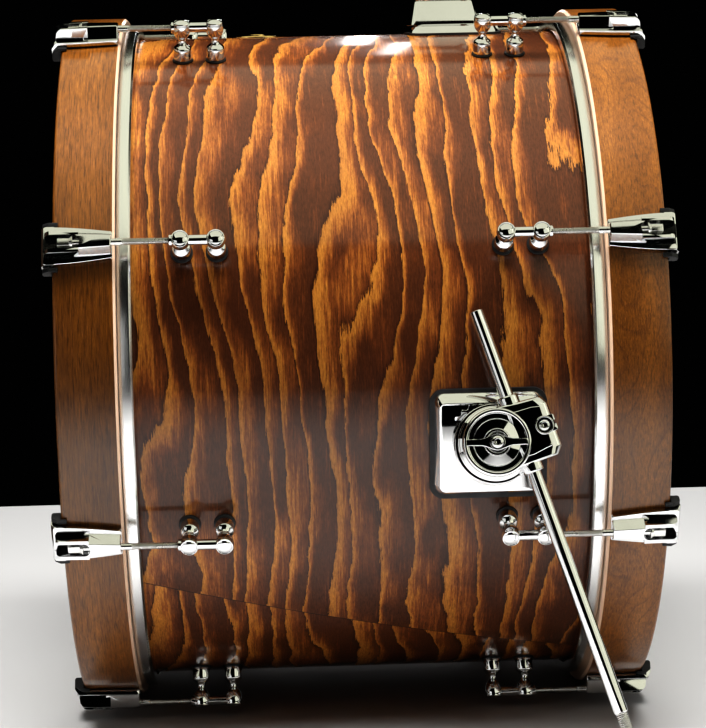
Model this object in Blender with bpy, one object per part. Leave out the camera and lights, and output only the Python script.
"""Bass drum, 22 in across and 16 in deep, with wooden hoops, sixteen tube lugs,
claw hooks, two folding spurs and a tom-holder base.

The drum lies on its side as it is played.  +X is the drum's axis, towards the
front (resonant) head; -X is the batter side where the pedal goes; +Z is up.
The origin is on the floor, under the middle of the shell.  Each piece is
modelled in mm round the drum's own axis and then lifted to its height, AXIS_Z.
"""
import math

import bmesh
import bpy
from mathutils import Matrix, Vector

MM = 0.001
GAP = 0.3  # clearance between neighbouring pieces
OVERLAP = 1.0  # how far joined solids run into each other

# ---- driving dimensions, mm -------------------------------------------------
SHELL_R = 279.4  # 22 in shell
SHELL_HALF = 203.2  # half of a 16 in deep shell
HOOP_R = 298.0
HOOP_IN_X = 189.5
HOOP_OUT_X = 237.5
AXIS_Z = HOOP_R  # the drum stands on its hoops, so its axis is this high
ROD_R = SHELL_R + 29.5  # distance of the tension rods from the drum's axis
SEGMENTS = 72  # facets round the shell, heads and hoops

# ---- frames ------------------------------------------------------------------
X_AXIS = Matrix(((0, 0, 1, 0), (0, 1, 0, 0), (-1, 0, 0, 0), (0, 0, 0, 1)))  # Z to +X
SECTION_X = Matrix(((0, 0, 1, 0), (1, 0, 0, 0), (0, 1, 0, 0), (0, 0, 0, 1)))  # XYZ to YZX
MIRROR_X = Matrix.Scale(-1, 4, (1, 0, 0))
MIRROR_Y = Matrix.Scale(-1, 4, (0, 1, 0))

ADD, CUT = "UNION", "DIFFERENCE"


# ---- mesh helpers ------------------------------------------------------------
def mesh_from(bm):
    """A mesh in metres from a bmesh in mm."""
    bmesh.ops.recalc_face_normals(bm, faces=bm.faces)
    mesh = bpy.data.meshes.new("part")
    bm.to_mesh(mesh)
    bm.free()
    mesh.transform(Matrix.Scale(MM, 4))
    return mesh


def turned(profile, segments, closed, matrix):
    """A profile of (radius, height) points spun round Z; its open ends lie on the axis."""
    bm = bmesh.new()
    points = [bm.verts.new((radius, 0.0, height)) for radius, height in profile]
    edges = [bm.edges.new(pair) for pair in zip(points, points[1:])]
    if closed:
        edges.append(bm.edges.new((points[-1], points[0])))
    bmesh.ops.spin(
        bm,
        geom=points + edges,
        cent=(0, 0, 0),
        axis=(0, 0, 1),
        angle=math.tau,
        steps=segments,
        use_merge=True,
    )
    bmesh.ops.remove_doubles(bm, verts=bm.verts, dist=1e-4)
    bmesh.ops.dissolve_degenerate(bm, edges=bm.edges, dist=1e-5)
    bm.transform(matrix)
    return mesh_from(bm)


def prism(outline, low, high, matrix=Matrix(), top=1.0):
    """An (x, y) outline carried from height low to high; top scales the upper face."""
    bm = bmesh.new()
    count = len(outline)
    mid_x = sum(x for x, _ in outline) / count
    mid_y = sum(y for _, y in outline) / count
    lower = [bm.verts.new((x, y, low)) for x, y in outline]
    upper = [
        bm.verts.new((mid_x + (x - mid_x) * top, mid_y + (y - mid_y) * top, high))
        for x, y in outline
    ]
    bm.faces.new(list(reversed(lower)))
    bm.faces.new(upper)
    for i in range(count):
        j = (i + 1) % count
        bm.faces.new((lower[i], lower[j], upper[j], upper[i]))
    bm.transform(matrix)
    return mesh_from(bm)


def round_outline(radius, sides, phase=0.0):
    angles = [phase + math.tau * i / sides for i in range(sides)]
    return [(radius * math.cos(a), radius * math.sin(a)) for a in angles]


def rounded_rect(length, width, corner, steps=3, mid_x=0.0):
    points = []
    for sign_x, sign_y, start in ((1, 1, 0), (-1, 1, 90), (-1, -1, 180), (1, -1, 270)):
        for i in range(steps + 1):
            angle = math.radians(start + 90 * i / steps)
            x = mid_x + sign_x * (length / 2 - corner) + corner * math.cos(angle)
            y = sign_y * (width / 2 - corner) + corner * math.sin(angle)
            points.append((x, y))
    return points


def box_outline(x_low, x_high, half_width):
    return [
        (x_low, -half_width),
        (x_high, -half_width),
        (x_high, half_width),
        (x_low, half_width),
    ]


def rod_bar(radius, x_low, x_high, sides=8, phase=0.0):
    """A bar along X on the axis of the top tension rod."""
    frame = Matrix.Translation((0, 0, ROD_R)) @ X_AXIS
    return prism(round_outline(radius, sides, phase), x_low, x_high, frame)


def round_drum(profile, closed=True):
    """A (radius, x) profile spun round the drum's axis, a corner of each ring straight down."""
    return turned(profile, SEGMENTS, closed, X_AXIS)


def shell_core():
    """The shell's own facets, a clearance larger, for cutting saddles."""
    return prism(round_outline(SHELL_R + GAP, SEGMENTS), -260.0, 260.0, X_AXIS)


def plate_stack(rows, frame):
    """Rounded plates; rows are (length, width, corner, low, high, top), low and high from SHELL_R."""
    return [
        prism(rounded_rect(length, width, corner), SHELL_R + low, SHELL_R + high, frame, top)
        for length, width, corner, low, high, top in rows
    ]


def combined(first, steps):
    """first with each (operation, mesh) applied in turn, as one mesh."""
    base = bpy.data.objects.new("base", first)
    bpy.context.collection.objects.link(base)
    helpers = []
    for operation, mesh in steps:
        helper = bpy.data.objects.new("tool", mesh)
        helper.hide_render = True
        helper.display_type = "WIRE"
        bpy.context.collection.objects.link(helper)
        helpers.append(helper)
        modifier = base.modifiers.new(operation, "BOOLEAN")
        modifier.operation = operation
        modifier.solver = "EXACT"
        modifier.object = helper
    bpy.context.view_layer.update()
    graph = bpy.context.evaluated_depsgraph_get()
    result = bpy.data.meshes.new_from_object(base.evaluated_get(graph))
    for obj in helpers + [base]:
        bpy.data.objects.remove(obj, do_unlink=True)
    bm = bmesh.new()
    bm.from_mesh(result)
    bmesh.ops.remove_doubles(bm, verts=bm.verts, dist=1e-6)
    bmesh.ops.dissolve_degenerate(bm, edges=bm.edges, dist=1e-6)
    bm.to_mesh(result)
    bm.free()
    return result


def moved(mesh, matrix):
    """A transformed copy; a mirrored one has its normals turned back outwards."""
    copy = mesh.copy()
    copy.transform(matrix)
    if matrix.is_negative:
        copy.flip_normals()
    return copy


def place(name, mesh, mat, origin=(0.0, 0.0, 0.0), parent=None):
    """An object from a mesh round the drum's axis, its own origin at origin (mm, same frame)."""
    offset = Vector(origin) * MM
    mesh = moved(mesh, Matrix.Translation(-offset))
    mesh.name = name
    mesh.materials.clear()
    mesh.materials.append(mat)
    mesh.shade_smooth()
    mesh.set_sharp_from_angle(angle=math.radians(35))
    obj = bpy.data.objects.new(name, mesh)
    bpy.context.collection.objects.link(obj)
    obj.location = offset + Vector((0, 0, AXIS_Z * MM))
    if parent is not None:
        obj.parent = parent
        bpy.context.view_layer.update()
        obj.matrix_parent_inverse = parent.matrix_world.inverted()
    return obj


def place_both_ends(kind, mesh, mat):
    place("resonant_" + kind, mesh, mat)
    place("batter_" + kind, moved(mesh, MIRROR_X), mat)


# ---- scene and materials -----------------------------------------------------
for old in list(bpy.data.objects):
    bpy.data.objects.remove(old, do_unlink=True)


def material(name, colour, roughness, metallic):
    mat = bpy.data.materials.new(name)
    mat.use_nodes = True
    shader = mat.node_tree.nodes["Principled BSDF"]
    shader.inputs["Base Color"].default_value = (*colour, 1.0)
    shader.inputs["Roughness"].default_value = roughness
    shader.inputs["Metallic"].default_value = metallic
    mat.diffuse_color = (*colour, 1.0)
    return mat


VENEER = material("veneer_lacquered", colour=(0.16, 0.06, 0.03), roughness=0.25, metallic=0.0)
HOOP_WOOD = material("maple_stained", colour=(0.24, 0.13, 0.09), roughness=0.3, metallic=0.0)
CHROME = material("chrome", colour=(0.8, 0.8, 0.8), roughness=0.08, metallic=1.0)
STEEL = material("plated_steel", colour=(0.62, 0.62, 0.6), roughness=0.25, metallic=1.0)
FILM = material("drumhead_film", colour=(0.85, 0.85, 0.82), roughness=0.4, metallic=0.0)

# ---- shell -------------------------------------------------------------------
SHELL_INNER_R = SHELL_R - 7.6
SHELL_CHAMFER = 2.0  # outside corner of each rim
RIM_IN_R = SHELL_R - 2.6  # inner side of the rim's flat edge
RIM_BEVEL = 5.0  # length along X of the inside bevel
VENT_X = -77.0
VENT_R = 6.3


def shell():
    """The shell, with a vent hole at the top towards the batter side."""
    body = round_drum([
        (SHELL_R, -SHELL_HALF + SHELL_CHAMFER),
        (SHELL_R, SHELL_HALF - SHELL_CHAMFER),
        (SHELL_R - SHELL_CHAMFER, SHELL_HALF),
        (RIM_IN_R, SHELL_HALF),
        (SHELL_INNER_R, SHELL_HALF - RIM_BEVEL),
        (SHELL_INNER_R, -SHELL_HALF + RIM_BEVEL),
        (RIM_IN_R, -SHELL_HALF),
        (SHELL_R - SHELL_CHAMFER, -SHELL_HALF),
    ])
    frame = Matrix.Translation((VENT_X, 0, 0))
    vent = prism(round_outline(VENT_R, 12), SHELL_R - 20, SHELL_R + 10, frame)
    return combined(body, [(CUT, vent)])


place("shell", shell(), VENEER)

# ---- heads, each one solid of film and flesh hoop ----------------------------
FLESH_IN_X = 178.0  # edge of the flesh hoop nearer the middle of the drum
FLESH_OUT_X = 189.2
FLESH_R = 291.0
FILM_IN_X = SHELL_HALF + GAP
FILM_OUT_X = FILM_IN_X + 0.7
HEAD_PROFILE = [  # radius, x
    (0.0, FILM_IN_X),
    (SHELL_R - 0.9, FILM_IN_X),
    (SHELL_R + 0.6, SHELL_HALF - 1.5),
    (SHELL_R + 2.6, FLESH_OUT_X),
    (SHELL_R + 2.0, FLESH_IN_X),
    (FLESH_R, FLESH_IN_X),
    (FLESH_R, FLESH_OUT_X),
    (SHELL_R + 3.8, FLESH_OUT_X),
    (SHELL_R + 1.4, SHELL_HALF - 1.2),
    (SHELL_R - 0.5, FILM_OUT_X),
    (0.0, FILM_OUT_X),
]
place_both_ends("head", round_drum(HEAD_PROFILE, closed=False), FILM)

# ---- wooden hoops ------------------------------------------------------------
HOOP_INNER_R = HOOP_R - 11.0
HOOP_IN_CHAMFER = 2.0
HOOP_OUT_CHAMFER = 1.2
HOOP_PROFILE = [  # radius, x
    (HOOP_INNER_R, HOOP_IN_X),
    (HOOP_R - HOOP_IN_CHAMFER, HOOP_IN_X),
    (HOOP_R, HOOP_IN_X + HOOP_IN_CHAMFER),
    (HOOP_R, HOOP_OUT_X - HOOP_OUT_CHAMFER),
    (HOOP_R - HOOP_OUT_CHAMFER, HOOP_OUT_X),
    (HOOP_INNER_R, HOOP_OUT_X),
]
place_both_ends("hoop", round_drum(HOOP_PROFILE), HOOP_WOOD)

# ---- lugs, rods and claws, each built at the top of the drum, front end ------
LUG_COUNT = 8  # per end
LUG_FIRST_DEG = 22.5  # above level, on the +Y side
POST_IN_X = 110.8
POST_OUT_X = 139.5
POST_SIDES = 8
POST_PROFILE = [  # radius, height above the shell
    (0.0, GAP), (8.7, GAP), (8.7, 1.8), (7.6, 2.6), (7.2, 9.6), (3.5, 12.8),
    (3.5, 21.5), (7.3, 24.6), (8.1, 29.5), (7.0, 34.6), (0.0, 36.0),
]
TUBE_R = 4.2
LUG_BORE_R = 3.45

ROD_END_X = 121.0
THREAD_R = 2.75
SHANK_R = 3.05
SHANK_IN_X = 187.0
WASHER_X = 220.6
WASHER_R = 5.6
WASHER_T = 2.2
HEAD_SIDE = 6.2
HEAD_IN_X = WASHER_X + 1.5
HEAD_END_X = 233.0


def lug_post(x):
    frame = Matrix.Translation((x, 0, 0)) @ Matrix.Rotation(math.pi / POST_SIDES, 4, "Z")
    profile = [(radius, SHELL_R + height) for radius, height in POST_PROFILE]
    return turned(profile, POST_SIDES, False, frame)


def lug():
    """Two posts joined by a tube that is bored from its outer end."""
    return combined(lug_post(POST_OUT_X), [
        (ADD, rod_bar(TUBE_R, POST_IN_X - OVERLAP, POST_OUT_X + OVERLAP)),
        (ADD, lug_post(POST_IN_X)),
        (CUT, rod_bar(LUG_BORE_R, ROD_END_X - 3.0, POST_OUT_X + 20.0)),
    ])


def tension_rod():
    """Shank, thread, washer and square head."""
    head_r = HEAD_SIDE / math.sqrt(2)
    return combined(rod_bar(SHANK_R, SHANK_IN_X, WASHER_X + OVERLAP), [
        (ADD, rod_bar(THREAD_R, ROD_END_X, SHANK_IN_X + OVERLAP)),
        (ADD, rod_bar(WASHER_R, WASHER_X, WASHER_X + WASHER_T, sides=10)),
        (ADD, rod_bar(head_r, HEAD_IN_X, HEAD_END_X, sides=4, phase=math.pi / 4)),
    ])


CLAW_IN_X = 191.0
CLAW_OUT_X = 244.0
CLAW_IN_HALF, CLAW_OUT_HALF = 10.8, 15.2  # plate's half widths at its two ends
PLATE_TOP = HOOP_R + 5.4
HOOK_HALF = 20.0
HOOK_LOW, HOOK_HIGH = HOOP_R - 9.5, HOOP_R + 2.2
BARREL_END_X = CLAW_IN_X + 29.0
BARREL_TOP = 4.2
BARREL_SECTION = [  # y, height from the rod's axis
    (-9.0, -7.0), (9.0, -7.0), (7.2, 0.5),
    (4.9, BARREL_TOP), (-4.9, BARREL_TOP), (-7.2, 0.5),
]
WALLS_HALF = 9.4
CHANNEL_HALF = 6.4
CLAW_BORE_R = 3.5


def claw():
    """A plate over the hoop, hooked down its outer face, with a barrel for the rod."""
    plate = prism(
        [
            (CLAW_IN_X, -CLAW_IN_HALF),
            (CLAW_OUT_X, -CLAW_OUT_HALF),
            (CLAW_OUT_X, CLAW_OUT_HALF),
            (CLAW_IN_X, CLAW_IN_HALF),
        ],
        HOOP_R + GAP,
        PLATE_TOP,
    )
    hook_outline = box_outline(HOOP_OUT_X + GAP, CLAW_OUT_X + 2.0, HOOK_HALF)
    walls = prism(
        box_outline(BARREL_END_X - 3.0, CLAW_OUT_X - 1.5, WALLS_HALF),
        HOOP_R + 2.0,
        ROD_R + BARREL_TOP,
    )
    barrel_frame = Matrix.Translation((0, 0, ROD_R)) @ SECTION_X
    # open at its top and outer end, this leaves the walls on either side of the rod's head
    channel = prism(
        box_outline(BARREL_END_X, CLAW_OUT_X + 10.0, CHANNEL_HALF),
        PLATE_TOP - 0.5,
        ROD_R + 30.0,
    )
    return combined(plate, [
        (ADD, prism(hook_outline, HOOK_LOW, HOOK_HIGH)),
        (ADD, walls),
        (ADD, prism(BARREL_SECTION, CLAW_IN_X, BARREL_END_X, barrel_frame)),
        (CUT, channel),
        (CUT, rod_bar(CLAW_BORE_R, CLAW_IN_X - 5, BARREL_END_X + 6)),
    ])


def station(index, front):
    """The turn that carries a piece from the top of the front end to its lug position."""
    angle = math.radians(LUG_FIRST_DEG + index * 360.0 / LUG_COUNT - 90.0)
    turn = Matrix.Rotation(angle, 4, "X")
    return turn if front else turn @ Matrix.Rotation(math.pi, 4, "Z")


lug_mesh, rod_mesh, claw_mesh = lug(), tension_rod(), claw()
for end in ("front", "batter"):
    for k in range(LUG_COUNT):
        turn = station(k, end == "front")
        suffix = "_%s_%d" % (end, k + 1)
        washer = turn @ Vector((WASHER_X, 0, ROD_R))
        place("lug" + suffix, moved(lug_mesh, turn), CHROME)
        place("claw" + suffix, moved(claw_mesh, turn), CHROME)
        place("tension_rod" + suffix, moved(rod_mesh, turn), STEEL, origin=washer)

# ---- spurs, built on the near (-Y) side --------------------------------------
SPUR_TILT_DEG = 12.0  # the rotor's axis points up by this, so the leg splays out
SPUR_BASE_DEG = -9.7  # place round the shell, from level
SPUR_BASE_X = 96.0
SPUR_BASE_L, SPUR_BASE_W = 87.0, 84.0
SPUR_BASE_ROWS = [  # gasket, plate and bevel: length, width, corner, low, high, top
    (SPUR_BASE_L + 5, SPUR_BASE_W + 5, 11.0, -24.4, 1.6, 1.0),
    (SPUR_BASE_L, SPUR_BASE_W, 9.0, -21.4, 4.0, 1.0),
    (SPUR_BASE_L, SPUR_BASE_W, 9.0, 3.9, 7.0, 0.92),
]
ROSETTE_R = 31.0
ROTOR_X, ROTOR_UP = 99.3, -104.7  # rotor's centre in its own plane
ROTOR_R = 26.4
DISH_R = 20.5
LEG_PLANE = 291.5  # distance of the leg's plane from the drum's axis
INNER, OUTER = LEG_PLANE - 9.0, LEG_PLANE + 9.5  # the rotor's two faces
LEG_TILT_DEG = 17.9  # forward rake seen square to the rotor
LEG_OFFSET = 19.7  # leg's axis beside the rotor's centre
LEG_TUBE_R = 5.6
LEG_SIDES = 14
LEG_TOP = 101.0  # tube above the point level with the rotor's centre
LEG_BOTTOM = 223.7
THREAD_LEG_R = 4.8
BAR_OUTLINE = [  # x, y from the rotor's centre
    (-24.0, -2.6), (-9.0, -3.4), (0.0, -6.4), (9.0, -3.4), (24.0, -2.6),
    (24.0, 2.6), (9.0, 3.4), (0.0, 6.4), (-9.0, 3.4), (-24.0, 2.6),
]
BLOCK_OUTLINE = [  # x across the leg, y along it, from the rotor's centre
    (0.0, -24.8), (42.0, -24.4), (46.8, -18.1), (47.2, 16.6),
    (43.8, 22.6), (10.0, 25.6), (0.0, 24.8),
]
KEY_BOLT_AT, KEY_BOLT_R = (38.2, 0.2, 0.0), 6.8
ROTOR_BOLT_R = 4.6
FOOT_R = 12.5
FOOT_PROFILE = [  # radius, distance below the top of the foot
    (0.0, 0.0), (8.0, 0.0), (FOOT_R - 2.0, 6.0), (FOOT_R, 24.0), (FOOT_R, 45.0), (0.0, 45.0),
]


def side_frame(degrees):
    """x forward, y up, z out of the -Y side and raised from level by degrees."""
    rise, reach = math.sin(math.radians(degrees)), math.cos(math.radians(degrees))
    return Matrix(((1, 0, 0, 0), (0, rise, -reach, 0), (0, reach, rise, 0), (0, 0, 0, 1)))


BASE_FRAME = Matrix.Translation((SPUR_BASE_X, 0, 0)) @ side_frame(SPUR_BASE_DEG)
ROTOR_FRAME = side_frame(SPUR_TILT_DEG) @ Matrix.Translation((ROTOR_X, ROTOR_UP, 0))
BLOCK_FRAME = ROTOR_FRAME @ Matrix.Rotation(math.radians(LEG_TILT_DEG), 4, "Z")
LEG_FRAME = (
    BLOCK_FRAME
    @ Matrix.Translation((LEG_OFFSET, 0, LEG_PLANE))
    @ Matrix.Rotation(math.radians(90), 4, "X")
)  # z runs down the leg
ROTOR_CENTRE = ROTOR_FRAME @ Vector((0, 0, LEG_PLANE))
LEG_CENTRE = LEG_FRAME @ Vector((0, 0, 0))
LEG_DOWN = (LEG_FRAME.to_3x3() @ Vector((0, 0, 1))).normalized()
TO_FLOOR = (-AXIS_Z - LEG_CENTRE.z) / LEG_DOWN.z  # along the leg to the floor
FOOT_TOP = TO_FLOOR - 33.0


def spur_base():
    """Gasket, bevelled plate and round rosette, saddled to the shell."""
    gasket, plate, bevel = plate_stack(SPUR_BASE_ROWS, BASE_FRAME)
    rosette = prism(round_outline(ROSETTE_R, 24), 250.0, INNER - 0.4, ROTOR_FRAME)
    return combined(gasket, [(ADD, plate), (ADD, bevel), (ADD, rosette), (CUT, shell_core())])


def spur_clamp():
    """Dished rotor with a raised bar, and the block at its side that holds the leg."""
    rotor = prism(round_outline(ROTOR_R, 28), INNER, OUTER, ROTOR_FRAME)
    dish = prism(round_outline(DISH_R, 28), OUTER - 4.0, OUTER + 5.0, ROTOR_FRAME)
    block = prism(BLOCK_OUTLINE, INNER, OUTER - 1.0, BLOCK_FRAME)
    bar = prism(BAR_OUTLINE, OUTER - 6.0, OUTER + 0.4, ROTOR_FRAME)
    collar_outline = rounded_rect(17.0, 62.0, 2.0, steps=1, mid_x=LEG_OFFSET)
    collars = prism(collar_outline, LEG_PLANE - 8.0, LEG_PLANE + 8.0, BLOCK_FRAME)
    key_frame = BLOCK_FRAME @ Matrix.Translation(KEY_BOLT_AT)
    key_bolt = prism(round_outline(KEY_BOLT_R, 12), LEG_PLANE, OUTER + 2.4, key_frame)
    rotor_bolt = prism(round_outline(ROTOR_BOLT_R, 12), OUTER - 2.0, OUTER + 3.6, ROTOR_FRAME)
    leg_bore = prism(round_outline(LEG_TUBE_R + 0.45, LEG_SIDES), -60.0, 60.0, LEG_FRAME)
    raised = [(ADD, mesh) for mesh in (block, bar, collars, key_bolt, rotor_bolt)]
    return combined(rotor, [(CUT, dish)] + raised + [(CUT, leg_bore)])


def spur_leg():
    """Tube, thread and foot, trimmed flat at the floor."""
    tube = prism(round_outline(LEG_TUBE_R, LEG_SIDES), -LEG_TOP, LEG_BOTTOM, LEG_FRAME)
    thread_outline = round_outline(THREAD_LEG_R, LEG_SIDES)
    thread = prism(thread_outline, LEG_BOTTOM - 2, FOOT_TOP + 8, LEG_FRAME)
    foot_profile = [(radius, FOOT_TOP + down) for radius, down in FOOT_PROFILE]
    foot = turned(foot_profile, 18, False, LEG_FRAME)
    below_floor = prism(box_outline(-200, 500, 600), -AXIS_Z - 100.0, -AXIS_Z)
    return combined(tube, [(ADD, thread), (ADD, foot), (CUT, below_floor)])


base_mesh, clamp_mesh, leg_mesh = spur_base(), spur_clamp(), spur_leg()
for side, flip in (("near", Matrix()), ("far", MIRROR_Y)):
    place("spur_base_" + side, moved(base_mesh, flip), CHROME)
    clamp = place(
        "spur_clamp_" + side, moved(clamp_mesh, flip), CHROME, origin=flip @ ROTOR_CENTRE
    )
    place(
        "spur_leg_" + side, moved(leg_mesh, flip), CHROME, origin=flip @ LEG_CENTRE, parent=clamp
    )

# ---- tom-holder base on top --------------------------------------------------
TOM_X = 94.5
TOM_BLOCK_X = 86.5
TOM_BASE_L, TOM_BASE_W = 79.0, 74.0
TOM_BASE_H = 9.0
TOM_SHOULDER_H = 29.0  # top of the tapered block, where the collar begins
TOM_BLOCK_H = 52.0
TOM_BORE_R = 12.9
TOM_BASE_ROWS = [  # gasket, plate and bevel: length, width, corner, low, high, top
    (TOM_BASE_L + 4, TOM_BASE_W + 4, 12.0, -17.4, 2.0, 1.0),
    (TOM_BASE_L, TOM_BASE_W, 11.0, -14.4, 5.0, 1.0),
    (TOM_BASE_L, TOM_BASE_W, 11.0, 4.9, TOM_BASE_H, 0.93),
]
TOM_BLOCK_ROWS = [  # tapered block and collar, same columns
    (66.0, 56.0, 9.0, TOM_BASE_H - OVERLAP, TOM_SHOULDER_H, 0.76),
    (50.0, 42.6, 7.0, TOM_SHOULDER_H - OVERLAP, TOM_BLOCK_H, 1.0),
]


def tom_mount():
    """Stepped base with a bored block, saddled to the shell."""
    block_frame = Matrix.Translation((TOM_BLOCK_X, 0, 0))
    gasket, *plates = plate_stack(TOM_BASE_ROWS, Matrix.Translation((TOM_X, 0, 0)))
    plates += plate_stack(TOM_BLOCK_ROWS, block_frame)
    bore = prism(round_outline(TOM_BORE_R, 24), SHELL_R + 6.0, SHELL_R + 90.0, block_frame)
    return combined(gasket, [(ADD, mesh) for mesh in plates] + [(CUT, bore), (CUT, shell_core())])


place("tom_mount", tom_mount(), CHROME)
